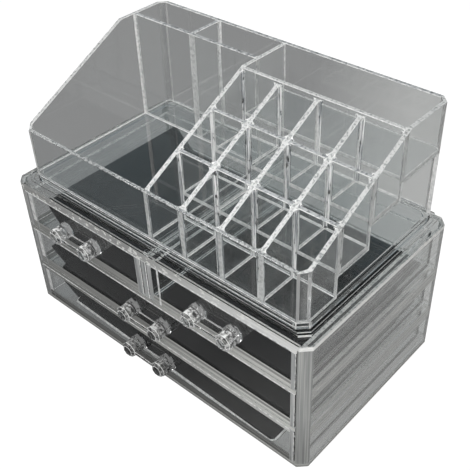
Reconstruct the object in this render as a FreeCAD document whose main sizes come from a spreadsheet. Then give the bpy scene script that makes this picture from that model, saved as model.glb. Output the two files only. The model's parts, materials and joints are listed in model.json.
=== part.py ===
import FreeCAD, Part
import Sketcher
import os

# Clear two-piece makeup organizer: a drawer cabinet and a lift-off tray that stands on it.
# X runs along the width, Y from the front to the back and Z up; lengths are in millimetres.
sizes = {
    # cabinet
    "cab_width": 240.0,
    "cab_depth": 138.0,
    "corner_cut": 5.0,
    "wall": 2.5,
    "base_thick": 2.5,
    "deck_thick": 3.0,
    "shelf_thick": 2.5,
    "row_height": 29.0,
    "post_width": 6.5,
    "lip_drop": 2.5,
    "lip_depth": 3.0,
    "flange_drop": 6.5,
    "divider_thick": 4.0,
    # low rib on the deck round the tray's foot
    "rib_inset": 5.0,
    "rib_back_inset": 0.3,
    "rib_width": 1.6,
    "rib_rise": 1.5,
    "rib_cut": 5.0,
    # drawers
    "side_gap": 0.8,
    "under_gap": 0.2,
    "over_gap": 0.6,
    "back_gap": 3.0,
    "tub_wall": 2.2,
    "tub_floor": 2.2,
    "front_thick": 2.6,
    "side_drop": 3.0,
    # drawer pulls
    "knob_spacing": 26.4,
    "pull_lift": 2.0,
    "collar_radius": 6.1,
    "collar_edge": 0.6,
    "collar_depth": 3.2,
    "neck_radius": 4.9,
    "neck_depth": 0.9,
    "head_radius": 5.6,
    "head_depth": 7.4,
    "head_face": 3.8,
    "head_bevel": 1.7,
    "bar_thick": 2.0,
    "bar_rear": 2.2,
    "bar_depth": 7.4,
    # drawer mats
    "mat_thick": 1.4,
    "mat_seat": 0.1,
    "flap_setback": 5.0,
    "left_mat_right": 2.0,
    "left_mat_fold": 28.5,
    "left_flap_run": 19.5,
    "left_flap_rise": 21.0,
    "left_mat_front": 1.0,
    "left_mat_back": 3.4,
    "right_mat_right": 2.0,
    "right_mat_fold": 6.0,
    "right_flap_run": 4.0,
    "right_flap_rise": 4.5,
    "right_mat_front": 1.0,
    "right_mat_back": 3.4,
    "middle_mat_right": 2.5,
    "middle_mat_fold": 20.0,
    "middle_flap_run": 17.5,
    "middle_flap_rise": 11.0,
    "middle_mat_front": 1.0,
    "middle_mat_back": 3.4,
    "bottom_mat_right": 13.5,
    "bottom_mat_fold": 24.0,
    "bottom_flap_run": 20.0,
    "bottom_flap_rise": 10.5,
    "bottom_mat_front": 3.9,
    "bottom_mat_back": 0.5,
    # tray
    "tray_gap_side": 2.4,
    "tray_gap_front": 2.0,
    "tray_gap_back": 0.5,
    "tray_cut": 5.3,
    "tray_height": 80.0,
    "tray_wall": 2.6,
    "plinth": 5.0,
    "floor_thick": 2.5,
    "skirt": 2.5,
    "front_height": 38.0,
    "slope_start": 2.9,
    # rack and back row
    "rack_wall": 2.8,
    "cell_width": 28.0,
    "cell_depth": 28.0,
    "step_one": 17.0,
    "step_two": 16.0,
    "step_three": 12.0,
    "step_thick": 2.4,
    "brush_depth": 23.5,
    "brush_width": 50.0,
}

doc = FreeCAD.newDocument("MakeupOrganizer")
sheet = doc.addObject("Spreadsheet::Sheet", "Sizes")
for row, (alias, number) in enumerate(sizes.items(), 1):
    sheet.set("A%d" % row, alias)
    sheet.set("B%d" % row, str(number))
    sheet.setAlias("B%d" % row, alias)
doc.recompute()


class Size:
    # A length with its number and the sheet formula that drives it.
    def __init__(self, value, text):
        self.value = float(value)
        self.text = text

    def __add__(self, other):
        other = lift(other)
        return Size(self.value + other.value, "(%s + %s)" % (self.text, other.text))

    def __sub__(self, other):
        other = lift(other)
        return Size(self.value - other.value, "(%s - %s)" % (self.text, other.text))

    def __mul__(self, other):
        other = lift(other)
        return Size(self.value * other.value, "(%s * %s)" % (self.text, other.text))

    def __truediv__(self, other):
        other = lift(other)
        return Size(self.value / other.value, "(%s / %s)" % (self.text, other.text))

    def __neg__(self):
        return Size(-self.value, "(0 - %s)" % self.text)


def root(length):
    return Size(length.value ** 0.5, "sqrt(%s)" % length.text)


def lift(item):
    return item if isinstance(item, Size) else Size(item, repr(float(item)))


def size(alias):
    return Size(sheet.get(alias), "Sizes." + alias)


def bind(item, prop, length):
    item.setExpression(prop, lift(length).text)


def place(item, x, y, z, turn=None):
    point = FreeCAD.Vector(lift(x).value, lift(y).value, lift(z).value)
    item.Placement = FreeCAD.Placement(point, turn or FreeCAD.Rotation())
    bind(item, "Placement.Base.x", x)
    bind(item, "Placement.Base.y", y)
    bind(item, "Placement.Base.z", z)


def box(label, low, high):
    # A block from its low corner to its high corner.
    block = doc.addObject("Part::Box", label)
    block.Label = label
    for prop, a, b in zip(("Length", "Width", "Height"), low, high):
        bind(block, prop, lift(b) - a)
    place(block, *low)
    return block


def prism(label, plane, loops, start, length):
    # Closed outlines on a plane, drawn corner by corner and raised along that plane's normal.
    body = doc.addObject("PartDesign::Body", label)
    body.Label = label
    sketch = body.newObject("Sketcher::SketchObject", label + "_outline")
    role = plane + "_Plane"
    datum = [f for f in body.Origin.OriginFeatures if f.Role == role][0]
    sketch.AttachmentSupport = [(datum, "")]
    sketch.MapMode = "FlatFace"
    for corners in loops:
        corners = [(lift(u), lift(v)) for u, v in corners]
        points = [FreeCAD.Vector(u.value, v.value, 0) for u, v in corners]
        count = len(points)
        first = sketch.GeometryCount
        for k in range(count):
            sketch.addGeometry(Part.LineSegment(points[k], points[(k + 1) % count]), False)
        for k in range(count):
            end = (first + k, 2, first + (k + 1) % count, 1)
            sketch.addConstraint(Sketcher.Constraint("Coincident", *end))
        for k, (u, v) in enumerate(corners):
            for kind, way in (("DistanceX", u), ("DistanceY", v)):
                rule = Sketcher.Constraint(kind, -1, 1, first + k, 1, way.value)
                index = sketch.addConstraint(rule)
                bind(sketch, "Constraints[%d]" % index, way)
    pad = body.newObject("PartDesign::Pad", label + "_pad")
    pad.Profile = sketch
    bind(pad, "Length", length)
    shift = [start if axis not in plane else 0 for axis in "XYZ"]
    place(body, *shift)
    return body


def cut(label, base, tool):
    result = doc.addObject("Part::Cut", label)
    result.Label = label
    result.Base = base
    result.Tool = tool
    result.Refine = True
    return result


def fuse(label, pieces):
    result = doc.addObject("Part::MultiFuse", label)
    result.Label = label
    result.Shapes = pieces
    result.Refine = True
    return result


def chamfered(x0, x1, y0, y1, cut_off):
    # A rectangle in plan with its four corners cut off at 45 degrees.
    return [(x0 + cut_off, y0), (x1 - cut_off, y0), (x1, y0 + cut_off), (x1, y1 - cut_off),
            (x1 - cut_off, y1), (x0 + cut_off, y1), (x0, y1 - cut_off), (x0, y0 + cut_off)]


def mirrored(corners):
    # The same plan outline on the other side of the middle plane.
    return [(-lift(u), v) for u, v in reversed(corners)]


nodes = []


def node(item):
    nodes.append(item)
    return item


# Overall places of the cabinet. The pulls stand out in front, so the front face lies off centre.
wall = size("wall")
cut_off = size("corner_cut")
post = size("post_width")
half_width = size("cab_width") / 2
pull_reach = size("collar_depth") + size("neck_depth") + size("head_depth")
front = (pull_reach - size("cab_depth")) / 2
back = front + size("cab_depth")
inner_side = half_width - wall
opening_side = half_width - post
post_end = front + post
front_wall_in = front + wall
inner_back = back - wall
lip_end = front + size("lip_depth")

# Heights of the three rows, counted from the floor of the bottom one.
row_height = size("row_height")
bottom_row = size("base_thick")
lower_shelf_low = bottom_row + row_height
middle_row = lower_shelf_low + size("shelf_thick")
upper_shelf_low = middle_row + row_height
top_row = upper_shelf_low + size("shelf_thick")
lip_low = top_row + row_height
deck_low = lip_low + size("lip_drop")
deck_top = deck_low + size("deck_thick")

# Cabinet shell: base, side walls that turn in at the front corners, back and deck.
plan = chamfered(-half_width, half_width, front, back, cut_off)
node(prism("base_panel", "XY", [plan], 0, size("base_thick")))
side_plan = [
    (half_width - cut_off, front),
    (half_width, front + cut_off),
    (half_width, back - cut_off),
    (half_width - cut_off, back),
    (half_width - cut_off, inner_back),
    (inner_side, back - cut_off),
    (inner_side, post_end),
    (opening_side, front_wall_in),
    (opening_side, front),
]
wall_height = deck_low - bottom_row
node(prism("left_wall", "XY", [mirrored(side_plan)], bottom_row, wall_height))
node(prism("right_wall", "XY", [side_plan], bottom_row, wall_height))
corner_x = half_width - cut_off
node(box("back_panel", (-corner_x, inner_back, bottom_row), (corner_x, back, deck_low)))

rib_side = half_width - size("rib_inset")
rib_front = front + size("rib_inset")
rib_back = back - size("rib_back_inset")
rib_width = size("rib_width")
rib_cut = size("rib_cut")
rib_loops = [
    chamfered(-rib_side, rib_side, rib_front, rib_back, rib_cut),
    chamfered(rib_width - rib_side, rib_side - rib_width,
              rib_front + rib_width, rib_back - rib_width, rib_cut),
]
deck_plate = prism("deck_plate", "XY", [plan], deck_low, size("deck_thick"))
deck_rib = prism("deck_rib", "XY", rib_loops, deck_top, size("rib_rise"))
deck_lip = box("deck_lip", (-opening_side, front, lip_low), (opening_side, lip_end, deck_low))
node(fuse("top_deck", [deck_plate, deck_rib, deck_lip]))

# Two shelves, cut to the walls' front corners, each with a flange along both sides below it.
shelf_plan = [
    (-opening_side, front),
    (opening_side, front),
    (opening_side, front_wall_in),
    (inner_side, post_end),
    (inner_side, back - cut_off),
    (corner_x, inner_back),
    (-corner_x, inner_back),
    (-inner_side, back - cut_off),
    (-inner_side, post_end),
    (-opening_side, front_wall_in),
]
flange_end = back - cut_off
for label, low in (("upper_shelf", upper_shelf_low), ("lower_shelf", lower_shelf_low)):
    plate = prism(label + "_plate", "XY", [shelf_plan], low, size("shelf_thick"))
    flange_low = low - size("flange_drop")
    left = box(label + "_flange_left", (-inner_side, post_end, flange_low),
               (-opening_side, flange_end, low))
    right = box(label + "_flange_right", (opening_side, post_end, flange_low),
                (inner_side, flange_end, low))
    node(fuse(label, [plate, left, right]))

# Upright between the two half-width drawers, notched under the deck's lip.
divider_outline = [
    (front, top_row),
    (inner_back, top_row),
    (inner_back, deck_low),
    (lip_end, deck_low),
    (lip_end, lip_low),
    (front, lip_low),
]
divider = size("divider_thick")
node(prism("centre_divider", "YZ", [divider_outline], -divider / 2, divider))

# Drawers: a tub whose front stands higher than its sides, with a pull and a loose mat.
tub_wall = size("tub_wall")
tub_floor = size("tub_floor")
tub_end = inner_back - size("back_gap")
front_in = front + size("front_thick")
front_rise = row_height - size("under_gap") - size("over_gap")
side_rise = front_rise - size("side_drop")
knob_sides = 8
quarter = 90
forward = FreeCAD.Rotation(FreeCAD.Vector(1, 0, 0), quarter)


def spool(label, x, z):
    # Eight-sided knob: collar on the drawer front, narrow neck, head with a bevelled face.
    stations = [
        (lift(0), size("collar_radius")),
        (size("collar_depth") - size("collar_edge"), size("collar_radius")),
        (size("collar_depth"), size("neck_radius")),
        (size("collar_depth") + size("neck_depth"), size("neck_radius")),
        (size("collar_depth") + size("neck_depth") + size("collar_edge"), size("head_radius")),
        (pull_reach - size("head_bevel"), size("head_radius")),
        (pull_reach, size("head_face")),
    ]
    # The rings face forward with a flat side up.
    turn = forward * FreeCAD.Rotation(FreeCAD.Vector(0, 0, 1), 180 / knob_sides)
    rings = []
    for k, (reach, radius) in enumerate(stations):
        ring = doc.addObject("Part::RegularPolygon", "%s_ring_%d" % (label, k))
        ring.Polygon = knob_sides
        bind(ring, "Circumradius", radius)
        place(ring, x, front - reach, z, turn)
        rings.append(ring)
    knob = doc.addObject("Part::Loft", label)
    knob.Sections = rings
    knob.Solid = True
    knob.Ruled = True
    return knob


def pull(label, x, z):
    # Two knobs joined by a flat bar between collar and head.
    reach = size("knob_spacing") / 2
    knobs = [spool(label + "_knob_left", x - reach, z), spool(label + "_knob_right", x + reach, z)]
    bar_front = front - size("bar_rear") - size("bar_depth")
    bar = box(label + "_bar", (x - reach, bar_front, z - size("bar_thick") / 2),
              (x + reach, front - size("bar_rear"), z + size("bar_thick") / 2))
    node(fuse(label, knobs + [bar]))


def mat(label, x0, x1, z, mat_name):
    # Flat liner, loose in its tub. Its left end is a straight flap that leans up to the left.
    thick = size("mat_thick")
    run = size(mat_name + "_flap_run")
    rise = size(mat_name + "_flap_rise")
    slant = root(run * run + rise * rise)
    y0 = front_in + size(mat_name + "_mat_front")
    y1 = tub_end - tub_wall - size(mat_name + "_mat_back")
    fold = x0 + size(mat_name + "_mat_fold")
    low = z + size("mat_seat")
    right = x1 - size(mat_name + "_mat_right")
    flat = box(label + "_flat", (fold, y0, low), (right, y1, low + thick))
    side = [
        (fold, low),
        (fold - run, low + rise),
        (fold - run + thick * rise / slant, low + rise + thick * run / slant),
        (fold + thick * (slant - run) / rise, low + thick),
    ]
    flap = prism(label + "_flap", "XZ", [side], y1, y1 - y0 - size("flap_setback"))
    node(fuse(label, [flat, flap]))


def drawer(label, x0, x1, row, mat_name):
    low = row + size("under_gap")
    outer = box(label + "_outer", (x0, front, low), (x1, tub_end, low + side_rise))
    inner = box(label + "_inner", (x0 + tub_wall, front_in, low + tub_floor),
                (x1 - tub_wall, tub_end - tub_wall, low + front_rise))
    face = box(label + "_face", (x0, front, low), (x1, front_in, low + front_rise))
    node(fuse(label + "_tub", [cut(label + "_shell", outer, inner), face]))
    pull(label + "_pull", (x0 + x1) / 2, low + front_rise / 2 + size("pull_lift"))
    mat(label + "_mat", x0 + tub_wall, x1 - tub_wall, low + tub_floor, mat_name)


outer_side = opening_side - size("side_gap")
middle_side = divider / 2 + size("side_gap")
drawer("drawer_top_left", -outer_side, -middle_side, top_row, "left")
drawer("drawer_top_right", middle_side, outer_side, top_row, "right")
drawer("drawer_middle", -outer_side, outer_side, middle_row, "middle")
drawer("drawer_bottom", -outer_side, outer_side, bottom_row, "bottom")

# Tray places: it stands inside the rib with its own gaps on each side.
tray_side = rib_side - rib_width - size("tray_gap_side")
tray_front = rib_front + rib_width + size("tray_gap_front")
tray_back = rib_back - rib_width - size("tray_gap_back")
tray_cut = size("tray_cut")
tray_wall = size("tray_wall")
tray_floor = deck_top + size("plinth")
tray_top = deck_top + size("tray_height")
front_top = deck_top + size("front_height")
tray_in_side = tray_side - tray_wall
tray_in_front = tray_front + tray_wall
tray_in_back = tray_back - tray_wall

# Tray base: a plate with a skirt round its hollow underside.
foot = prism("tray_foot", "XY", [chamfered(-tray_side, tray_side, tray_front, tray_back, tray_cut)],
             deck_top, size("plinth"))
skirt = size("skirt")
hollow = prism("tray_hollow", "XY", [chamfered(skirt - tray_side, tray_side - skirt,
               tray_front + skirt, tray_back - skirt, tray_cut)],
               deck_top, size("plinth") - size("floor_thick"))
node(cut("tray_base", foot, hollow))

# Rack places: columns counted from the right wall, rows from the front wall.
rack_wall = size("rack_wall")
half_rack = rack_wall / 2
column = [tray_side - tray_wall / 2 - size("cell_width") * k for k in range(5)]
cross = [tray_front + tray_wall / 2 + size("cell_depth") * k for k in range(4)]
level = [tray_floor, tray_floor + size("step_one")]
level.append(level[1] + size("step_two"))
level.append(level[2] + size("step_three"))
step_thick = size("step_thick")
rear_face = cross[3] + half_rack
slope_low = tray_front + size("slope_start")
slope = (tray_top - front_top) / (rear_face - slope_low)


def top_at(y):
    # Height of the sloped top line at a depth behind the front wall.
    return front_top + (y - slope_low) * slope


# Outer walls of the tray. The side walls carry the cut-off corners and the slope.
slope_off = [
    (tray_front - skirt, front_top),
    (slope_low, front_top),
    (rear_face, tray_top),
    (rear_face, tray_top + skirt),
    (tray_front - skirt, tray_top + skirt),
]
tray_side_plan = [
    (tray_side - tray_cut, tray_front),
    (tray_side, tray_front + tray_cut),
    (tray_side, tray_back - tray_cut),
    (tray_side - tray_cut, tray_back),
    (tray_side - tray_cut, tray_in_back),
    (tray_in_side, tray_back - tray_cut),
    (tray_in_side, tray_front + tray_cut),
    (tray_side - tray_cut, tray_in_front),
]
tray_rise = tray_top - tray_floor
left_blank = prism("tray_left_blank", "XY", [mirrored(tray_side_plan)], tray_floor, tray_rise)
left_slope = prism("tray_left_slope", "YZ", [slope_off], -tray_side - skirt, tray_cut + skirt * 2)
node(cut("tray_left_wall", left_blank, left_slope))

right_blank = prism("tray_right_blank", "XY", [tray_side_plan], tray_floor, tray_rise)
right_slope = prism("tray_right_slope", "YZ", [slope_off], tray_side - tray_cut - skirt,
                    tray_cut + skirt * 2)
steps_off = [
    (cross[1] - half_rack, tray_floor),
    (tray_back - tray_cut, tray_floor),
    (tray_back - tray_cut, level[3] - step_thick),
    (cross[3] - half_rack, level[3] - step_thick),
    (cross[3] - half_rack, level[2] - step_thick),
    (cross[2] - half_rack, level[2] - step_thick),
    (cross[2] - half_rack, level[1] - step_thick),
    (cross[1] - half_rack, level[1] - step_thick),
]
right_steps = prism("tray_right_steps", "YZ", [steps_off], tray_in_side - skirt,
                    tray_wall + skirt * 2)
node(cut("tray_right_wall", cut("tray_right_sloped", right_blank, right_slope), right_steps))
tray_corner = tray_side - tray_cut
node(box("tray_front_wall", (-tray_corner, tray_front, tray_floor),
         (tray_corner, tray_in_front, front_top)))
node(box("tray_back_wall", (-tray_corner, tray_in_back, tray_floor),
         (tray_corner, tray_back, tray_top)))

# Panel on the left of the rack, from the front wall to the back wall.
rack_left = column[4]
panel_outline = [
    (tray_in_front, tray_floor),
    (tray_in_back, tray_floor),
    (tray_in_back, tray_top),
    (rear_face, tray_top),
    (tray_in_front, top_at(tray_in_front)),
]
node(prism("rack_left_panel", "YZ", [panel_outline], rack_left - half_rack, rack_wall))

# Cross walls between the left panel and the right wall, each one also a step's riser,
# slotted from above where the dividers cross them.
rack_x0 = rack_left + half_rack
rack_x1 = tray_in_side
foot_level = {1: tray_floor, 2: level[1] - step_thick}
lap = {}
for k, label in ((1, "rack_cross_wall_front"), (2, "rack_cross_wall_rear")):
    high = top_at(cross[k])
    lap[k] = (level[k] + high) / 2
    blank = box(label + "_blank", (rack_x0, cross[k] - half_rack, foot_level[k]),
                (rack_x1, cross[k] + half_rack, high))
    slots = [box("%s_slot_%d" % (label, c), (column[c] - half_rack, cross[k] - rack_wall, lap[k]),
                 (column[c] + half_rack, cross[k] + rack_wall, high + rack_wall)) for c in (1, 2, 3)]
    node(cut(label, blank, fuse(label + "_slots", slots)))
node(box("rack_rear_wall", (rack_x0, cross[3] - half_rack, level[2] - step_thick),
         (rack_x1, rear_face, tray_top)))

# Sloped dividers, stepped below over the raised floors and slotted from below over the cross walls.
for c, label in ((3, "rack_divider_left"), (2, "rack_divider_middle"), (1, "rack_divider_right")):
    outline = [
        (tray_in_front, level[0]),
        (cross[1] - half_rack, level[0]),
        (cross[1] - half_rack, lap[1]),
        (cross[1] + half_rack, lap[1]),
        (cross[1] + half_rack, level[1]),
        (cross[2] - half_rack, level[1]),
        (cross[2] - half_rack, lap[2]),
        (cross[2] + half_rack, lap[2]),
        (cross[2] + half_rack, level[2]),
        (cross[3] - half_rack, level[2]),
        (cross[3] - half_rack, top_at(cross[3] - half_rack)),
        (tray_in_front, top_at(tray_in_front)),
    ]
    node(prism(label, "YZ", [outline], column[c] - half_rack, rack_wall))

# Raised floors of the second and third rows and of the compartment behind the rack.
node(box("rack_floor_middle", (rack_x0, cross[1] + half_rack, level[1] - step_thick),
         (rack_x1, cross[2] - half_rack, level[1])))
node(box("rack_floor_rear", (rack_x0, cross[2] + half_rack, level[2] - step_thick),
         (rack_x1, cross[3] - half_rack, level[2])))
back_floor_plan = [
    (rack_x0, rear_face),
    (rack_x1, rear_face),
    (rack_x1, tray_back - tray_cut),
    (tray_corner, tray_in_back),
    (rack_x0, tray_in_back),
]
node(prism("back_box_floor", "XY", [back_floor_plan], level[3] - step_thick, step_thick))

# Back row on the left: a partition along the back and one divider across it.
partition_back = tray_in_back - size("brush_depth")
brush_x = size("brush_width") - tray_in_side
node(box("back_partition", (-tray_in_side, partition_back - rack_wall, tray_floor),
         (rack_left - half_rack, partition_back, tray_top)))
node(box("brush_divider", (brush_x, partition_back, tray_floor),
         (brush_x + rack_wall, tray_in_back, tray_top)))

doc.recompute()
for item in doc.Objects:
    if "Invalid" in item.State or "Error" in item.State:
        raise RuntimeError("%s did not build" % item.Label)
for item in nodes:
    shape = item.Shape
    if shape.isNull() or not shape.isValid() or len(shape.Solids) != 1:
        raise RuntimeError("%s is not one valid solid" % item.Label)

os.makedirs("parts", exist_ok=True)
for item in nodes:
    item.Shape.exportStep("parts/%s.step" % item.Label)
    print(item.Label, round(item.Shape.Volume, 1))
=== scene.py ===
import bmesh
import bpy
import json
import math
import numpy as np
from mathutils import Matrix, Vector


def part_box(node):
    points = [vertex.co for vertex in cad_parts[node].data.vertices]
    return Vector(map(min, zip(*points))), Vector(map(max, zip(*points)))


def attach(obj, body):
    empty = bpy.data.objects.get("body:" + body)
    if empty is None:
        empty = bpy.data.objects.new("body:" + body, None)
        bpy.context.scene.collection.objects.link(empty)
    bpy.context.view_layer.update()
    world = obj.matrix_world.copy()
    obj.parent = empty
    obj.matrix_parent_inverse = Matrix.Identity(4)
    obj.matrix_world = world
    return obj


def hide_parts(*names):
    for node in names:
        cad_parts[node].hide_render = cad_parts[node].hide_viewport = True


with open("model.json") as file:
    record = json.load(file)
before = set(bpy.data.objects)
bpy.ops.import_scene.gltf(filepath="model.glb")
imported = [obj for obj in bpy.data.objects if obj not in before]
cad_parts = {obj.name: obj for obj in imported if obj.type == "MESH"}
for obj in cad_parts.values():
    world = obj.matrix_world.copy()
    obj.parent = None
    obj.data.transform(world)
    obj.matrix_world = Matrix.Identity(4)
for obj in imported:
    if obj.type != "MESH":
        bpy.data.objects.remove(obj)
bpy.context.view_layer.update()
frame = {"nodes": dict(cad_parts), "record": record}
nodes = frame["nodes"]
bodyOf = {n: b for b, group in frame["record"]["behaviour"]["bodies"].items() for n in group}
scene = bpy.context.scene
print("frame loaded,", len(nodes), "nodes")

# camera: solved from the straight edges of the organizer, image 470 x 470
camera = {
    "place": (0.27832, -0.28217, 0.39127),
    "right": (0.750671, 0.660081, -0.028049),
    "up": (-0.397776, 0.485450, 0.778532),
    "back": (0.527511, -0.573264, 0.626977),
    "lens": 60.605,
    "sensor": 36.0,
    "shift": (-0.0088, 0.0033),
    "near": 0.01,
}


def setCamera(c):
    # columns of the turn are the picture's right, its up and the way back from the object
    data = bpy.data.cameras.new("photoCamera")
    data.sensor_width = c["sensor"]
    data.lens = c["lens"]
    data.shift_x, data.shift_y = c["shift"]
    data.clip_start = c["near"]
    obj = bpy.data.objects.new("photoCamera", data)
    scene.collection.objects.link(obj)
    turn = Matrix((c["right"], c["up"], c["back"])).transposed().to_4x4()
    obj.matrix_world = Matrix.Translation(Vector(c["place"])) @ turn
    scene.camera = obj


setCamera(camera)
print("camera set")


def newMaterial(name):
    mat = bpy.data.materials.new(name)
    mat.use_nodes = True
    tree = mat.node_tree
    tree.nodes.clear()
    out = tree.nodes.new("ShaderNodeOutputMaterial")
    return mat, tree, out


def feed(tree, socket, value):
    # another node's socket is linked, anything else is set
    if isinstance(value, bpy.types.NodeSocket):
        tree.links.new(value, socket)
    else:
        socket.default_value = value


def addNode(tree, kind, **values):
    node = tree.nodes.new(kind)
    for key, value in values.items():
        name = key.replace("_", " ")
        if name in node.inputs:
            feed(tree, node.inputs[name], value)
        else:
            setattr(node, key, value)
    return node


def mixColors(tree, share, first, second, blend="MIX"):
    # the colours of a mix node are its inputs 6 and 7 and its output 2
    node = addNode(tree, "ShaderNodeMix", data_type="RGBA", blend_type=blend)
    for place, value in ((0, share), (6, first), (7, second)):
        feed(tree, node.inputs[place], value)
    return node.outputs[2]


def mixShaders(tree, share, first, second):
    node = addNode(tree, "ShaderNodeMixShader", Fac=share)
    tree.links.new(first.outputs[0], node.inputs[1])
    tree.links.new(second.outputs[0], node.inputs[2])
    return node


def addScaled(tree, value, factor, base):
    node = addNode(tree, "ShaderNodeMath", operation="MULTIPLY_ADD")
    for socket, part in zip(node.inputs, (value, factor, base)):
        feed(tree, socket, part)
    return node.outputs[0]


def mapRange(tree, value, span, out=(0.0, 1.0)):
    node = addNode(tree, "ShaderNodeMapRange", Value=value, From_Min=span[0], From_Max=span[1],
                   To_Min=out[0], To_Max=out[1])
    return node.outputs[0]


def noiseField(tree, scale, span, out=(0.0, 1.0), detail=2.0, stretch=(1.0, 1.0, 1.0)):
    # noise on the piece's own coordinates, its middle range stretched to the two wanted values
    place = addNode(tree, "ShaderNodeTexCoord")
    pull = addNode(tree, "ShaderNodeMapping", Vector=place.outputs["Object"], Scale=stretch)
    noise = addNode(tree, "ShaderNodeTexNoise", Vector=pull.outputs[0], Scale=scale, Detail=detail)
    return mapRange(tree, noise.outputs[0], span, out)


def bumpNormal(tree, height, strength, depth):
    return addNode(tree, "ShaderNodeBump", Height=height, Strength=strength, Distance=depth).outputs[0]


# clear moulded plastic: polished faces with a faint ripple and fine scuffs
clearLook = {
    "tint": (0.979, 0.988, 0.987, 1.0),
    "ior": 1.49,
    "polish": (0.004, 0.025),
    "scuffScale": 55.0,
    "scuffSpan": (0.45, 0.75),
    "rippleScale": 12.0,
    "ripple": 0.03,
    "rippleDepth": 0.001,
    "shade": (0.975, 0.98, 0.98, 1.0),
}


def letLampsThrough(tree, shade, color):
    # lamps reach through the walls as through thin clear sheet
    pane = addNode(tree, "ShaderNodeBsdfTransparent", Color=color)
    path = addNode(tree, "ShaderNodeLightPath")
    return mixShaders(tree, path.outputs["Is Shadow Ray"], shade, pane)


def clearPlastic(look):
    mat, tree, out = newMaterial("clearPlastic")
    scuff = noiseField(tree, look["scuffScale"], look["scuffSpan"], look["polish"], detail=4.0)
    wave = noiseField(tree, look["rippleScale"], (0.0, 1.0), detail=1.0)
    shade = addNode(tree, "ShaderNodeBsdfPrincipled", Base_Color=look["tint"], IOR=look["ior"],
                    Roughness=scuff, Transmission_Weight=1.0,
                    Normal=bumpNormal(tree, wave, look["ripple"], look["rippleDepth"]))
    tree.links.new(letLampsThrough(tree, shade, look["shade"]).outputs[0], out.inputs["Surface"])
    return mat


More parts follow.
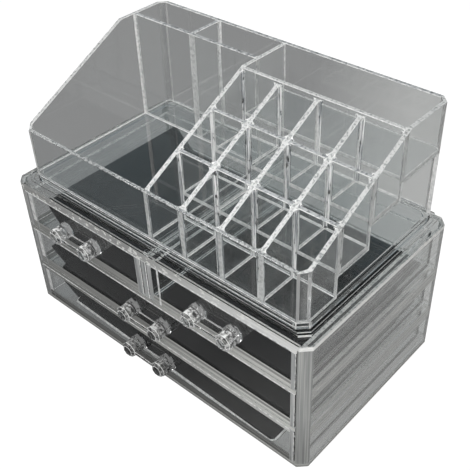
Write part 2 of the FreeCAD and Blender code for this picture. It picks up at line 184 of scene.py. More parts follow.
# milky finishes of the same plastic, a mix of two tones and two clearnesses in streaks: stretch is
# small along the way the streaks run. Their pale tones are painted highlight, for light that clear edges
# gather, and their dull tones partly painted shade. Some have dark dashes or painted glints, each a
# scale, a stretch and a span, or painted shade along one axis: the axis, its first and last place and
# the tones there
milkyPaintedLightLook = {
    # brightEdge: near white, a painted highlight for the light that clear edges gather and pipe
    "brightEdge": {"bright": (0.95, 0.95, 0.94), "dull": (0.78, 0.79, 0.785), "scale": 420.0,
                   "stretch": (1, 1, 1), "span": (0.36, 0.58), "through": (0.20, 0.05),
                   "roughness": 0.25, "shade": 0.6},
    "rimSpeckle": {"bright": (0.74, 0.745, 0.735), "dull": (0.26, 0.28, 0.28), "scale": 800.0,
                   "stretch": (1, 1, 1), "span": (0.38, 0.50), "through": (0.45, 0.12),
                   "roughness": 0.28, "shade": 0.7},
    "filletStreaks": {"bright": (0.96, 0.96, 0.95), "dull": (0.50, 0.53, 0.55), "scale": 1100.0,
                      "stretch": (1, 1, 0.03), "span": (0.42, 0.56), "through": (0.88, 0.08),
                      "roughness": 0.12, "shade": 0.8, "dash": (480.0, (1, 1, 0.4), (0.34, 0.40)),
                      "dashTone": 0.12},
    "quietRim": {"bright": (0.66, 0.675, 0.68), "dull": (0.38, 0.40, 0.41), "scale": 520.0,
                 "stretch": (1, 1, 1), "span": (0.34, 0.56), "through": (0.55, 0.25),
                 "roughness": 0.15, "shade": 0.8},
    "faintRim": {"bright": (0.80, 0.81, 0.80), "dull": (0.60, 0.62, 0.63), "scale": 450.0,
                 "stretch": (1, 1, 1), "span": (0.36, 0.60), "through": (0.88, 0.55),
                 "roughness": 0.08, "shade": 0.9},
    "quietEdge": {"bright": (0.90, 0.905, 0.89), "dull": (0.56, 0.58, 0.59), "scale": 380.0,
                  "stretch": (1, 1, 1), "span": (0.34, 0.54), "through": (0.35, 0.10),
                  "roughness": 0.2, "shade": 0.7},
    "railLines": {"bright": (0.90, 0.90, 0.865), "dull": (0.72, 0.725, 0.70), "scale": 500.0,
                  "stretch": (0.02, 0.02, 2), "span": (0.35, 0.65), "through": (0.25, 0.12),
                  "roughness": 0.12, "shade": 0.7, "fade": ("X", (-0.03, 0.085), (0.50, 1.0))},
    "lipLines": {"bright": (0.96, 0.96, 0.94), "dull": (0.82, 0.825, 0.81), "scale": 420.0,
                 "stretch": (0.05, 0.05, 1.5), "span": (0.35, 0.65), "through": (0.15, 0.05),
                 "roughness": 0.12, "shade": 0.7, "fade": ("X", (-0.02, 0.085), (0.50, 1.0)),
                 "spark": (420.0, (0.7, 0.7, 1.0), (0.57, 0.63)), "sparkTone": (1.0, 1.0, 0.97)},
    "dimLines": {"bright": (0.48, 0.48, 0.46), "dull": (0.38, 0.385, 0.375), "scale": 500.0,
                 "stretch": (0.02, 0.02, 2), "span": (0.35, 0.65), "through": (0.30, 0.15),
                 "roughness": 0.10, "shade": 0.8},
    "baseLines": {"bright": (0.28, 0.28, 0.27), "dull": (0.16, 0.163, 0.16), "scale": 500.0,
                  "stretch": (0.02, 0.02, 2), "span": (0.35, 0.65), "through": (0.50, 0.25),
                  "roughness": 0.08, "shade": 0.8},
    "postLines": {"bright": (0.50, 0.505, 0.49), "dull": (0.35, 0.36, 0.36), "scale": 500.0,
                  "stretch": (2, 2, 0.03), "span": (0.35, 0.65), "through": (0.45, 0.20),
                  "roughness": 0.10, "shade": 0.8, "fade": ("Z", (0.012, 0.045), (0.75, 1.0))},
    "uprightLines": {"bright": (0.70, 0.705, 0.70), "dull": (0.44, 0.455, 0.46), "scale": 700.0,
                     "stretch": (2, 2, 0.03), "span": (0.35, 0.65), "through": (0.35, 0.12),
                     "roughness": 0.12, "shade": 0.8, "fade": ("Z", (0.012, 0.045), (0.70, 1.0))},
    "sideLines": {"bright": (0.93, 0.93, 0.92), "dull": (0.95, 0.955, 0.955), "scale": 900.0,
                  "stretch": (1, 0.003, 1), "span": (0.54, 0.60), "through": (0.96, 0.68),
                  "roughness": 0.02, "shade": 0.9},
    "cornerCut": {"bright": (0.82, 0.83, 0.82), "dull": (0.70, 0.71, 0.72), "scale": 300.0,
                  "stretch": (1, 1, 0.1), "span": (0.40, 0.60), "through": (0.96, 0.88),
                  "roughness": 0.02, "shade": 0.9},
    "pullPlastic": {"bright": (0.97, 0.97, 0.965), "dull": (0.95, 0.955, 0.955), "scale": 90.0,
                    "stretch": (1, 1, 1), "span": (0.3, 0.7), "through": (1.0, 0.985),
                    "roughness": 0.0, "shade": 0.9, "fade": ("Z", (0.02, 0.08), (0.65, 1.0))},
    "pullTop": {"bright": (0.96, 0.96, 0.95), "dull": (0.80, 0.805, 0.805), "scale": 520.0,
                "stretch": (1, 1, 1), "span": (0.42, 0.56), "through": (0.95, 0.25),
                "roughness": 0.02, "shade": 0.9, "fade": ("Z", (0.02, 0.08), (0.45, 1.0))},
    "pullFacet": {"bright": (0.97, 0.97, 0.96), "dull": (0.92, 0.925, 0.925), "scale": 520.0,
                  "stretch": (1, 1, 1), "span": (0.50, 0.60), "through": (1.0, 0.55),
                  "roughness": 0.0, "shade": 0.9, "fade": ("Z", (0.02, 0.08), (0.45, 1.0))},
}


def milkyPaintedLightPlastic(name):
    look = milkyPaintedLightLook[name]
    mat, tree, out = newMaterial(name)
    share, clearness = [noiseField(tree, look["scale"], look["span"], ends, detail=3.0,
                                   stretch=look["stretch"]) for ends in ((0.0, 1.0), look["through"])]
    color = mixColors(tree, share, (*look["dull"], 1.0), (*look["bright"], 1.0))
    if "dash" in look:
        # here and there a short dark dash
        scale, stretch, span = look["dash"]
        dark = noiseField(tree, scale, span, (look["dashTone"], 1.0), stretch=stretch)
        color = mixColors(tree, 1.0, color, dark, "MULTIPLY")
    if "fade" in look:
        # painted shade: the tone grows along one axis of the piece, darker towards the axis's first place
        axis, span, tones = look["fade"]
        place = addNode(tree, "ShaderNodeTexCoord")
        axes = addNode(tree, "ShaderNodeSeparateXYZ", Vector=place.outputs["Object"])
        color = mixColors(tree, 1.0, color, mapRange(tree, axes.outputs[axis], span, tones), "MULTIPLY")
    if "spark" in look:
        # painted glints: small bright specks where the light gathers
        scale, stretch, span = look["spark"]
        color = mixColors(tree, noiseField(tree, scale, span, stretch=stretch), color,
                          (*look["sparkTone"], 1.0))
    shade = addNode(tree, "ShaderNodeBsdfPrincipled", Roughness=look["roughness"], IOR=clearLook["ior"],
                    Base_Color=color, Transmission_Weight=clearness)
    lit = letLampsThrough(tree, shade, (look["shade"],) * 3 + (1.0,))
    tree.links.new(lit.outputs[0], out.inputs["Surface"])
    return mat


# bonded ends: glow is the share of a white diffuse tone on a joint, a painted highlight for the light a
# joint gathers, none where it can't be seen
jointLook = {"glow": {"joined": 0.0, "litJoint": 0.65}, "tone": (0.95, 0.95, 0.94, 1.0)}


def joinedFace(name, look):
    mat, tree, out = newMaterial(name)
    pane = addNode(tree, "ShaderNodeBsdfTransparent")
    lit = addNode(tree, "ShaderNodeBsdfDiffuse", Color=look["tone"])
    joint = mixShaders(tree, look["glow"][name], pane, lit)
    tree.links.new(joint.outputs[0], out.inputs["Surface"])
    return mat


# drawer liner: near black, matte, with a fine grain and paler scuffs
linerLook = {
    "color": (0.0055, 0.0055, 0.006, 1.0),
    "scuffed": (0.010, 0.010, 0.0105, 1.0),
    "scuffScale": 30.0,
    "scuffSpan": (0.45, 0.8),
    "grainScale": 1400.0,
    "grainSpan": (0.2, 0.8),
    "grain": 0.03,
    "grainDepth": 0.0004,
    "roughness": 0.62,
    "gloss": 0.15,
}


def linerSheet(look):
    mat, tree, out = newMaterial("linerSheet")
    scuff = noiseField(tree, look["scuffScale"], look["scuffSpan"], detail=5.0)
    grain = noiseField(tree, look["grainScale"], look["grainSpan"])
    shade = addNode(tree, "ShaderNodeBsdfPrincipled", Roughness=look["roughness"],
                    Specular_IOR_Level=look["gloss"],
                    Base_Color=mixColors(tree, scuff, look["color"], look["scuffed"]),
                    Normal=bumpNormal(tree, grain, look["grain"], look["grainDepth"]))
    tree.links.new(shade.outputs[0], out.inputs["Surface"])
    return mat


finish = {name: milkyPaintedLightPlastic(name) for name in milkyPaintedLightLook}
finish["clear"] = clearPlastic(clearLook)
finish.update({name: joinedFace(name, jointLook) for name in jointLook["glow"]})
liner = linerSheet(linerLook)
print("finishes made")


def addPiece(name, mesh, body, finishes):
    for mat in finishes:
        mesh.materials.append(mat)
    obj = bpy.data.objects.new(name, mesh)
    scene.collection.objects.link(obj)
    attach(obj, body)
    return obj


def pieceName(node, ending):
    words = node.split("_")
    return words[0] + "".join(w.capitalize() for w in words[1:]) + ending


# clear panels: each CAD panel with softened edges. Faces whose width lies within narrow take the rim
# finish where they look up or down and the end finish where they look sideways; slant is for corner
# cuts, line for the softened edges; joins is how far out bonded ends lie and joint their finish;
# calm panels show no line along their foot. Rim, end and line finishes are painted highlight and shade
thinWall = {"broad": "clear", "narrow": (0.0, 0.0034), "rim": "rimSpeckle", "end": "brightEdge"}
trayEnds = {"slant": "clear", "joins": 0.10571, "joint": "litJoint"}
level = {"broad": "clear", "narrow": (0.0018, 0.0095)}
outer = {"broad": "clear", "narrow": (0.0, 0.0095), "rim": "rimSpeckle", "end": "postLines",
         "slant": "postLines", "joins": 0.115, "line": "postLines"}
panelLook = {
    "plain": thinWall,
    "quiet": {**thinWall, "rim": "quietRim", "line": "quietEdge"},
    "trayWall": {**thinWall, **trayEnds, "rim": "quietRim", "line": "quietEdge"},
    "faint": {**thinWall, **trayEnds, "rim": "faintRim", "line": "faintRim"},
    "rackSide": {**thinWall, **trayEnds, "slant": "cornerCut", "calm": True},
    "plinth": {"broad": "clear", "narrow": (0.0, 0.0), "slant": "clear", "calm": True, "line": "quietEdge"},
    "shelf": {**level, "end": "railLines", "slant": "railLines", "line": "railLines"},
    "base": {**level, "end": "dimLines", "slant": "dimLines", "line": "dimLines"},
    "deck": {**level, "end": "lipLines", "slant": "lipLines", "line": "quietEdge"},
    "upright": {"broad": "clear", "narrow": (0.0, 0.0095), "rim": "clear", "end": "uprightLines"},
    "back": outer,
    "side": {**outer, "broad": "sideLines"},
    "pull": {"broad": "pullPlastic", "narrow": (0.0, 0.0), "round": 0.0002, "sharp": 20.0,
             "facets": "pullFacet", "paleFacets": "pullTop"},
}
# strips of a drawer's front, each an axis, a start and an end and a finish; a start below zero
# and an end not above it count back from the high side. The strips paint pale bands, a dimmer band
# and a dark band along the foot across the front: painted highlight and painted shade
tubBase = {**thinWall, "round": 0.0003, "line": "quietEdge"}
tubRail = [(2, 0.0, 0.0030, "railLines"), (2, 0.0030, 0.0050, "dimLines"), (2, 0.0050, 0.0061, "railLines")]
tubEnds = [(0, 0.0, 0.0036, "uprightLines"), (0, 0.0072, 0.0086, "uprightLines"),
           (0, -0.0028, 0.0, "uprightLines")]
tubStrips = {
    "tub": tubRail + [(2, -0.0006, 0.0, "railLines")] + tubEnds,
    "tubLow": [(2, 0.0, 0.0060, "baseLines"), (2, -0.0026, 0.0, "railLines")] + tubEnds,
    "tubLeft": tubRail + tubEnds[:2] + [(0, -0.0047, 0.0, "uprightLines")],
    "tubRight": tubRail + [(0, 0.0082, 0.0098, "brightEdge")] + tubEnds[::2],
}
panelLook.update({kind: {**tubBase, "strips": strips} for kind, strips in tubStrips.items()})
kindOf = {
    "base_panel": "base", "lower_shelf": "shelf", "upper_shelf": "shelf", "top_deck": "deck",
    "centre_divider": "upright", "left_wall": "side", "right_wall": "side", "back_panel": "back",
    "drawer_bottom_tub": "tubLow", "drawer_top_left_tub": "tubLeft", "drawer_top_right_tub": "tubRight",
    "tray_base": "plinth", "tray_left_wall": "rackSide", "tray_right_wall": "rackSide",
    "tray_front_wall": "faint", "tray_back_wall": "trayWall", "back_partition": "quiet",
    "brush_divider": "quiet", "rack_cross_wall_front": "quiet", "rack_cross_wall_rear": "quiet",
}
# lengths, shares of a normal and angles that tell the faces and edges of a panel apart
sense = {
    "apart": 0.00003,
    "weld": 0.000001,
    "round": 0.0004,
    "frontReach": 0.001,
    "footRise": 0.002,
    "headReach": 0.0077,
    "headEdge": 0.003,
    "joinReach": 0.0003,
    "ringRun": 0.0003,
    "barRun": 0.01,
    "footRun": 0.02,
    "flat": 0.99,
    "leaning": 0.3,
    "steep": 0.9,
    "chamfer": (-0.5, -0.2),
    "flatAngle": 1.0,
    "lineAngle": (20.0, 50.0),
}
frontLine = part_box("drawer_bottom_tub")[0].y + sense["frontReach"]
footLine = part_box("tray_base")[1].z + sense["footRise"]
headLine = frontLine - sense["headReach"]


def panelKind(node):
    last = node.split("_")[-1]
    return kindOf.get(node, last if last in panelLook else "plain")


def onFront(face):
    return face.normal.y < -sense["flat"] and face.calc_center_median().y < frontLine


def fromSides(low, high, start, end):
    return low + start if start >= 0 else high + start, low + end if end > 0 else high + end


def cutFront(bm, cuts):
    # cuts across the flat front face, so that strips of it can take their own finish
    for axis, place in cuts:
        faces = [f for f in bm.faces if onFront(f)]
        geom = faces + [e for e in bm.edges if any(f in faces for f in e.link_faces)]
        geom += [v for v in bm.verts if any(f in faces for f in v.link_faces)]
        way = Vector((axis == 0, 0, axis == 2))
        bmesh.ops.bisect_plane(bm, geom=geom, plane_co=way * place, plane_no=way)


def faceFinish(face, look, strips):
    # a strip's width is about twice its area over the length of its outline
    way, middle = face.normal, face.calc_center_median()
    width = 2 * face.calc_area() / sum(e.calc_length() for e in face.edges)
    if abs(way.x) > sense["flat"] and abs(abs(middle.x) - look.get("joins", -1)) < sense["joinReach"]:
        return look.get("joint", "joined")
    name = look["broad"]
    if look["narrow"][0] < width < look["narrow"][1]:
        name = look.get("rim", name) if abs(way.z) > sense["leaning"] else look["end"]
    if "slant" in look and min(abs(way.x), abs(way.y)) > sense["leaning"]:
        name = look["slant"]
    # a pull's head: upward facets take a paler finish, painted light from above, and the lower front
    # chamfer the bright edge, a painted highlight
    if "facets" in look and middle.y < headLine and abs(way.y) < sense["steep"]:
        name = look["facets"] if way.z < sense["steep"] else look["paleFacets"]
        if way.y < sense["chamfer"][0] and way.z < sense["chamfer"][1]:
            name = "brightEdge"
    for axis, a, b, own in strips:
        if onFront(face) and a < middle[axis] < b:
            name = own
    return name


def edgeShare(edge, look, joined):
    if len(edge.link_faces) != 2 or any(f.material_index in joined for f in edge.link_faces):
        return 0.0
    a, b = [v.co for v in edge.verts]
    if look.get("calm") and abs(a.y - b.y) > sense["footRun"] and max(a.z, b.z) < footLine:
        return 0.0
    if "facets" in look:
        # a pull shows lines round the front of its heads and along the bar between them
        rear = a.y > headLine - sense["headEdge"] and abs(a.x - b.x) < sense["barRun"]
        if rear or abs(a.y - b.y) > sense["ringRun"]:
            return 0.0
    # corner cuts at the back are soft and show no line, the others do
    least = look.get("sharp", sense["lineAngle"][a.y + b.y > 0])
    return float(edge.calc_face_angle() > math.radians(least))


def softenedPanel(node, look):
    low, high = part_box(node)
    strips = [(k, *fromSides(low[k], high[k], a, b), name) for k, a, b, name in look.get("strips", [])]
    bm = bmesh.new()
    bm.from_mesh(nodes[node].data)
    bmesh.ops.remove_doubles(bm, verts=bm.verts, dist=sense["weld"])
    flat = math.radians(sense["flatAngle"])
    bmesh.ops.dissolve_limit(bm, angle_limit=flat, verts=bm.verts, edges=bm.edges)
    cutFront(bm, sorted({(k, p) for k, a, b, name in strips for p in (a, b) if low[k] < p < high[k]}))
    bm.normal_update()
    # panels that touch are drawn a hair apart, so that no two faces lie in one place
    for vert in bm.verts:
        vert.co -= vert.normal * sense["apart"]
    chosen = [faceFinish(f, look, strips) for f in bm.faces]
    line = look.get("line", "brightEdge")
    names = [line] + sorted(set(chosen) - {line})
    for face, name in zip(bm.faces, chosen):
        face.material_index = names.index(name)
    joined = [k for k, name in enumerate(names) if name in jointLook["glow"]]
    share = bm.edges.layers.float.new("bevel_weight_edge")
    for edge in bm.edges:
        edge[share] = edgeShare(edge, look, joined)
    mesh = bpy.data.meshes.new(pieceName(node, "Clear"))
    bm.to_mesh(mesh)
    bm.free()
    obj = addPiece(mesh.name, mesh, bodyOf[node], [finish[n] for n in names])
    soft = obj.modifiers.new("softEdges", "BEVEL")
    soft.width = look.get("round", sense["round"])
    soft.segments = 2
    soft.limit_method = "WEIGHT"
    soft.material = 0
    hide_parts(node)
    return obj


matNodes = [n for n in nodes if n.endswith("_mat")]
for node in sorted(nodes):
    if node not in matNodes:
        softenedPanel(node, panelLook[panelKind(node)])
print("clear panels and pulls made")


def hollowCorner(steps):
    # the section of a fillet: the corner and a hollow quarter circle, for legs of one
    turn = np.linspace(0, math.pi / 2, steps)
    return [np.concatenate([[0.0], 1 - wave(turn)]) for wave in (np.sin, np.cos)]


def columnsMesh(name, rings):
    # closed columns, each a row of rings of places; sides come first, then the caps
    count, rows, ring = rings.shape[:3]
    first = np.arange(count)[:, None] * rows * ring
    k = np.arange(ring)
    after = (k + 1) % ring
    sides = []
    for n in range(0, (rows - 1) * ring, ring):
        corners = [first + n + k, first + n + after, first + n + ring + after, first + n + ring + k]
        sides += np.stack(corners, -1).reshape(-1, 4).tolist()
    caps = np.concatenate([first + k[::-1], first + (rows - 1) * ring + k]).tolist()
    mesh = bpy.data.meshes.new(name)
    mesh.from_pydata(rings.reshape(-1, 3).tolist(), [], sides + caps)
    bm = bmesh.new()
    bm.from_mesh(mesh)
    bmesh.ops.recalc_face_normals(bm, faces=bm.faces)
    bm.to_mesh(mesh)
    bm.free()
    return mesh, len(sides), len(caps)


rackWalls = ["rack_left_panel", "rack_divider_left", "rack_divider_middle", "rack_divider_right"]
rackCrossings = ["rack_cross_wall_front", "rack_cross_wall_rear", "rack_rear_wall"]
trayWallThick = 0.0026


def rackCells():
    # the inner faces of the twelve lipstick cells and the level of each row's floor
    lowX = [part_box(w)[1].x for w in rackWalls]
    highX = [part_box(w)[0].x for w in rackWalls[1:]] + [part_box("tray_right_wall")[1].x - trayWallThick]
    lowY = [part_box(w)[1].y for w in ["tray_front_wall"] + rackCrossings[:2]]
    highY = [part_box(w)[0].y for w in rackCrossings]
    levels = [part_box(w)[1].z for w in ("tray_base", "rack_floor_middle", "rack_floor_rear")]
    return [np.array(part) for part in (lowX, highX, lowY, highY, levels)]


# rack: rounded fillets up the corners of the cells. The tray's own cut corner has none: bare is its
# column, its row and its sides along x and y. slopeStart and slopeEnd are y and z of the sloped top
filletLook = {"leg": 0.0013, "flare": 0.0023, "flareDrop": 0.0025, "topGap": 0.0001, "steps": 5,
              "bare": (3, 0, 1, 0), "slopeStart": (-0.05175, 0.138), "slopeEnd": (0.03205, 0.180)}


def rackFillets(look):
    # in each corner a column from the cell's floor up to the sloped top, where it flares out
    lowX, highX, lowY, highY, levels = rackCells()
    choices = range(len(lowX)), range(len(lowY)), (0, 1), (0, 1)
    corners = np.stack(np.meshgrid(*choices, indexing="ij"), -1).reshape(-1, 4)
    col, row, sideX, sideY = corners[(corners != look["bare"]).any(1)].T
    cornerX = np.where(sideX == 0, lowX[col], highX[col])[:, None]
    cornerY = np.where(sideY == 0, lowY[row], highY[row])[:, None]
    wayX, wayY = [1 - 2 * side[:, None] for side in (sideX, sideY)]
    along, across = hollowCorner(look["steps"])
    (y0, z0), (y1, z1) = look["slopeStart"], look["slopeEnd"]
    rows = [(look["leg"], None), (look["leg"], look["flareDrop"]), (look["flare"], look["topGap"])]
    rings = []
    for leg, drop in rows:
        x = cornerX + wayX * along * leg
        y = cornerY + wayY * across * leg
        top = z0 + np.clip(y - y0, 0, y1 - y0) * (z1 - z0) / (y1 - y0)
        z = np.broadcast_to(levels[row][:, None], x.shape) if drop is None else top - drop
        rings.append(np.stack([x, y, z], -1))
    mesh, sides, caps = columnsMesh("rackFillets", np.stack(rings, 1))
    # fillet sides in streaks of painted highlight and shade, caps in the bright edge finish, a painted
    # highlight
    obj = addPiece(mesh.name, mesh, "top_tray",
                   [finish["filletStreaks"], finish["brightEdge"]])
    mesh.polygons.foreach_set("material_index", np.repeat([0, 1], [sides, caps]))
    return obj


rackFillets(filletLook)
print("rack fillets made")

# small beads where the tray's walls meet its floor and each other, in the bright edge finish, a painted
# highlight
beadLook = {"floor": 0.0005, "upright": 0.0011, "topGap": 0.0005, "steps": 4}


def beadBars(name, body, start, end, u, v, leg, steps):
    # along each line a bar with a fillet's section between u and v
    along, across = [part[None, :, None] * leg[:, None, None] for part in hollowCorner(steps)]
    section = u[:, None] * along + v[:, None] * across
    mesh = columnsMesh(name, np.stack([start[:, None] + section, end[:, None] + section], 1))[0]
    return addPiece(name, mesh, body, [finish["brightEdge"]])


def trayBeads(look):
    lowX, highX, lowY, highY, levels = rackCells()
    x0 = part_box("tray_left_wall")[0].x + trayWallThick
    y0, z0 = lowY[0], levels[0]
    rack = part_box("rack_left_panel")
    partLow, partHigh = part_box("back_partition")
    brushLow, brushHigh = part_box("brush_divider")
    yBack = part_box("tray_back_wall")[0].y
    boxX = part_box("back_box_floor")[0].x
    right, left, rear, fore, up = (1, 0, 0), (-1, 0, 0), (0, 1, 0), (0, -1, 0), (0, 0, 1)
    floor = [
        ((x0, y0, z0), (x0, partLow.y, z0), right, up),
        ((x0, y0, z0), (rack[0].x, y0, z0), rear, up),
        ((x0, partLow.y, z0), (rack[0].x, partLow.y, z0), fore, up),
        ((rack[0].x, y0, z0), (rack[0].x, rack[1].y, z0), left, up),
        ((x0, partHigh.y, z0), (boxX, partHigh.y, z0), rear, up),
        ((x0, yBack, z0), (boxX, yBack, z0), fore, up),
    ]
    for a, b in zip(lowX, highX):
        for c, d, z in zip(lowY, highY, levels):
            floor += [((a, c, z), (b, c, z), rear, up), ((a, d, z), (b, d, z), fore, up),
                      ((a, c, z), (a, d, z), right, up), ((b, c, z), (b, d, z), left, up)]
    top = partHigh.z - look["topGap"]
    upright = [(x0, partLow.y, right, fore), (x0, partHigh.y, right, rear)]
    for x, side in ((brushLow.x, left), (brushHigh.x, right)):
        upright += [(x, partHigh.y, side, rear), (x, yBack, side, fore)]
    bars = floor + [((x, y, z0), (x, y, top), u, v) for x, y, u, v in upright]
    start, end, u, v = [np.array(part, dtype=float) for part in zip(*bars)]
    leg = np.repeat([look["floor"], look["upright"]], [len(floor), len(upright)])
    return beadBars("trayBeads", "top_tray", start, end, u, v, leg, look["steps"])


trayBeads(beadLook)
print("tray beads made")

# drawer liners: flat sheets whose left end leans up; fold is where it starts to rise, setback how far
# the raised end's front lies back, skew how the front edge runs, border the width of the pale edge of the
# bottom one, a painted highlight.
# Waves are a share and, for x and y, how quick they are and where they start
matLook = {
    "drawer_top_left_mat": {"fold": -0.0820, "slope": 47.0, "setback": 0.005},
    "drawer_top_right_mat": {"fold": 0.0110, "slope": 48.0, "setback": 0.0},
    "drawer_middle_mat": {"fold": -0.0905, "slope": 32.0, "setback": 0.005},
    "drawer_bottom_mat": {"fold": -0.0865, "slope": 28.0, "setback": 0.004, "skew": -0.024,
                          "border": 0.0012},
    "thick": 0.0014,
    "bend": 0.006,
    "riseRun": 0.002,
    "lift": 0.000125,
    "wave": 0.0000875,
    "waves": ((1.0, 61, 1.3, 47, 0.4), (0.4, 133, 0.0, 97, math.pi / 2)),
    "grid": (120, 48),
    "cornerCut": 0.003,
}


def linerMat(node, look):
    # along the sheet: straight, then a bend of even curvature, then straight up the lean.
    # across it: front to back, the raised end set back a little, low waves over the whole
    low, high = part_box(node)
    own = look[node]
    slope = math.radians(own["slope"])
    radius = look["bend"] / slope
    lean = (own["fold"] - low.x - radius * math.sin(slope)) / math.cos(slope)
    reach = high.x - own["fold"]
    length = reach + look["bend"] + lean - look["thick"]
    border = own.get("border", 0.0)
    start = np.array([border, border / (high.y - low.y)])
    s, t = [np.concatenate([[0.0], np.linspace(a, b, n)]) if a > 0 else np.linspace(a, b, n)
            for a, b, n in zip(start, (length, 1.0), look["grid"])]
    s, t = np.meshgrid(s, t, indexing="ij")
    bent = np.clip((s - reach) / radius, 0, slope)
    straight = np.clip(s - reach - look["bend"], 0, None)
    x = high.x - np.minimum(s, reach) - radius * np.sin(bent) - straight * math.cos(slope)
    z = low.z + radius * (1 - np.cos(bent)) + straight * math.sin(slope)
    rise = np.clip((s - reach) / look["riseRun"], 0, 1)
    cut = look["cornerCut"] * np.clip(1 - s / look["cornerCut"], 0, 1)
    front = low.y + own["setback"] * rise * rise * (3 - 2 * rise) + cut
    front = front + own.get("skew", 0.0) * (x - own["fold"])
    y = front + t * (high.y - front)
    wave = sum(a * np.sin(b * x + c) * np.sin(d * y + e) for a, b, c, d, e in look["waves"])
    z = z + (look["lift"] + look["wave"] * wave) * (1 - rise)
    rows, columns = s.shape
    mesh = bpy.data.meshes.new(pieceName(node, "Sheet"))
    index = np.arange(rows * columns).reshape(rows, columns)
    faces = np.stack([index[:-1, :-1], index[:-1, 1:], index[1:, 1:], index[1:, :-1]], -1).reshape(-1, 4)
    mesh.from_pydata(np.stack([x, y, z], -1).reshape(-1, 3).tolist(), [], faces.tolist())
    finishes = [liner, finish["brightEdge"]] if border else [liner]
    obj = addPiece(mesh.name, mesh, bodyOf[node], finishes)
    # the pale border takes the bright edge finish, a painted highlight line
    pale = ((s < border / 2) | (t < start[1] / 2)) & (rise < 0.5) & (border > 0)
    mesh.polygons.foreach_set("material_index", pale[:-1, :-1].ravel().astype(int))
    mesh.polygons.foreach_set("use_smooth", np.ones(len(mesh.polygons), dtype=bool))
    wall = obj.modifiers.new("thickness", "SOLIDIFY")
    wall.thickness = look["thick"]
    wall.offset = 1.0
    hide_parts(node)
    return obj


for node in sorted(matNodes):
    linerMat(node, matLook)
print("drawer liners made")

# stage: white paper to the eye, a dull grey table as seen through the clear walls,
# with a paler patch to the right of the cabinet and behind it, a painted pool of light
stageLook = {
    "half": 4.0,
    "drop": -0.0004,
    "table": (0.062, 0.063, 0.064, 1.0),
    "card": (0.37, 0.37, 0.36, 1.0),
    "cardTurn": 0.45,
    "cardEdge": (-0.02, 0.10),
    "paper": (0.13, 0.13, 0.13, 1.0),
    "paperGlow": 0.95,
    "glossShare": 0.012,
    "throughShare": 0.205,
    "sky": 0.20,
    "skyTint": (1.0, 1.0, 1.0, 1.0),
    "flag": (-0.5275, 0.573, 0.627),
    "flagSpan": (0.72, 0.90),
    "flagged": 0.21,
    "flagTint": (0.82, 1.0, 1.08, 1.0),
}


def lookShare(tree, look):
    # how much of the white paper a ray meets: all of it for the camera, a share for gloss and clear walls
    path = addNode(tree, "ShaderNodeLightPath")
    share = path.outputs["Is Camera Ray"]
    for ray, part in (("Is Glossy Ray", "glossShare"), ("Is Transmission Ray", "throughShare")):
        share = addScaled(tree, path.outputs[ray], look[part], share)
    return share


def makeFloor(look):
    h, z = look["half"], look["drop"]
    mesh = bpy.data.meshes.new("floor")
    mesh.from_pydata([(-h, -h, z), (h, -h, z), (h, h, z), (-h, h, z)], [], [(0, 1, 2, 3)])
    obj = bpy.data.objects.new("floor", mesh)
    scene.collection.objects.link(obj)
    mat, tree, out = newMaterial("floorPaper")
    place = addNode(tree, "ShaderNodeTexCoord")
    axes = addNode(tree, "ShaderNodeSeparateXYZ", Vector=place.outputs["Object"])
    # painted light: the table turns paler to the right of the cabinet and behind it
    along = addScaled(tree, axes.outputs["Y"], look["cardTurn"], axes.outputs["X"])
    tone = mixColors(tree, mapRange(tree, along, look["cardEdge"]), look["table"], look["card"])
    table = addNode(tree, "ShaderNodeBsdfDiffuse", Color=tone)
    paper = addNode(tree, "ShaderNodeBsdfDiffuse", Color=look["paper"])
    glow = addNode(tree, "ShaderNodeEmission", Strength=look["paperGlow"])
    white = addNode(tree, "ShaderNodeAddShader")
    tree.links.new(paper.outputs[0], white.inputs[0])
    tree.links.new(glow.outputs[0], white.inputs[1])
    seen = mixShaders(tree, lookShare(tree, look), table, white)
    tree.links.new(seen.outputs[0], out.inputs["Surface"])
    mesh.materials.append(mat)


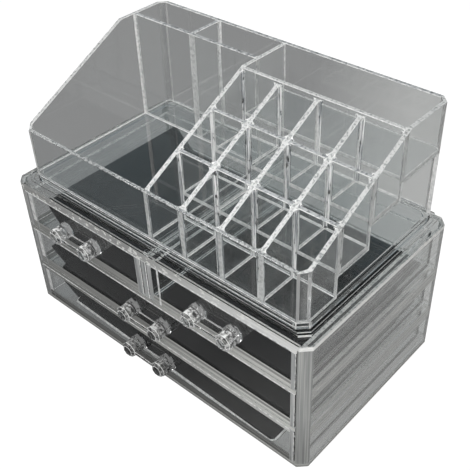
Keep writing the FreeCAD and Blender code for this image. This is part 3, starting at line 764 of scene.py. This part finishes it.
def makeSky(look):
    world = bpy.data.worlds.new("studio")
    scene.world = world
    world.use_nodes = True
    tree = world.node_tree
    tree.nodes.clear()
    out = addNode(tree, "ShaderNodeOutputWorld")
    soft = addNode(tree, "ShaderNodeBackground", Strength=look["sky"], Color=look["skyTint"])
    white = addNode(tree, "ShaderNodeBackground", Strength=1.0, Color=look["skyTint"])
    dark = addNode(tree, "ShaderNodeBackground", Strength=look["flagged"], Color=look["flagTint"])
    studio = mixShaders(tree, lookShare(tree, look), soft, white)
    # a dark flag high at the back left, where level plates would mirror the sky
    way = addNode(tree, "ShaderNodeTexCoord")
    toFlag = addNode(tree, "ShaderNodeVectorMath", operation="DOT_PRODUCT")
    feed(tree, toFlag.inputs[0], way.outputs["Generated"])
    feed(tree, toFlag.inputs[1], look["flag"])
    near = mapRange(tree, toFlag.outputs["Value"], look["flagSpan"])
    tree.links.new(mixShaders(tree, near, studio, dark).outputs[0], out.inputs["Surface"])


# a compact softbox high on the left, a broad weak fill from the front right,
# and two low ones that keep the left side and the back from going dark
lampTarget = (0.0, 0.0, 0.1)
lamps = {
    "keySoftbox": {"place": (-0.63, -0.19, 1.12), "size": (0.36, 0.36), "power": 3.0, "spread": 180,
                   "mirrored": True},
    "fillSoftbox": {"place": (0.60, -0.75, 0.80), "size": (0.8, 0.6), "power": 11.0, "spread": 180,
                    "mirrored": False},
    "leftSoftbox": {"place": (-0.95, 0.05, 0.36), "size": (0.6, 0.4), "power": 0.5, "spread": 50,
                    "mirrored": False},
    "backSoftbox": {"place": (0.15, 0.98, 0.38), "size": (0.6, 0.4), "power": 0.5, "spread": 50,
                    "mirrored": False},
}


def addSoftbox(name, look):
    data = bpy.data.lights.new(name, "AREA")
    data.shape = "RECTANGLE"
    data.size, data.size_y = look["size"]
    data.energy = look["power"]
    data.spread = math.radians(look["spread"])
    obj = bpy.data.objects.new(name, data)
    obj.visible_glossy = obj.visible_transmission = look["mirrored"]
    scene.collection.objects.link(obj)
    place = Vector(look["place"])
    turn = (Vector(lampTarget) - place).to_track_quat("-Z", "Y")
    obj.matrix_world = Matrix.Translation(place) @ turn.to_matrix().to_4x4()


makeFloor(stageLook)
makeSky(stageLook)
for name, look in lamps.items():
    addSoftbox(name, look)
print("stage and lamps set")

# light passes many clear walls in a row
lightPaths = {
    "max_bounces": 40,
    "transmission_bounces": 40,
    "glossy_bounces": 12,
    "transparent_max_bounces": 40,
    "caustics_reflective": False,
    "caustics_refractive": False,
}
scene.view_settings.view_transform = "Standard"
for key, value in lightPaths.items():
    setattr(scene.cycles, key, value)
